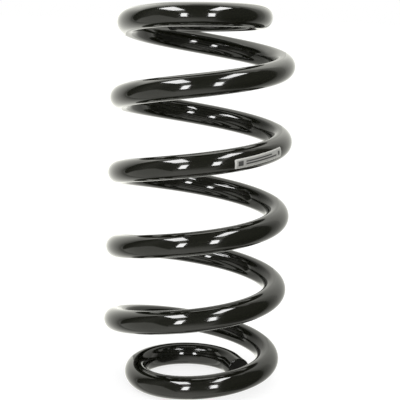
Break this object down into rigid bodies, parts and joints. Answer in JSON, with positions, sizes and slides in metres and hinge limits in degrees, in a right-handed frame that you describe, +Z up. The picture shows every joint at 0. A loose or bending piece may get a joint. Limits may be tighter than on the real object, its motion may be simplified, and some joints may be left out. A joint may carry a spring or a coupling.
{
  "type": "suspension spring",
  "caption": "Round-wire compression spring for a vehicle's suspension, black coated, wound right-handed, with a smaller closed coil at each end and a small plain label.",
  "frame": {"origin": "on the ground at the centre of the lower end coil", "axes": "+Z up, the way the spring is loaded; +X towards the lower tip; the front of the spring faces -Y"},
  "size_m": [0.1225, 0.1325, 0.2536],
  "materials": {
    "coat": "gloss black powder coat on spring steel wire",
    "label": "silver-grey printed film, glued round the wire"
  },
  "bodies": {
    "root": {"coil": "coat", "label": "label"}
  },
  "joints": []
}
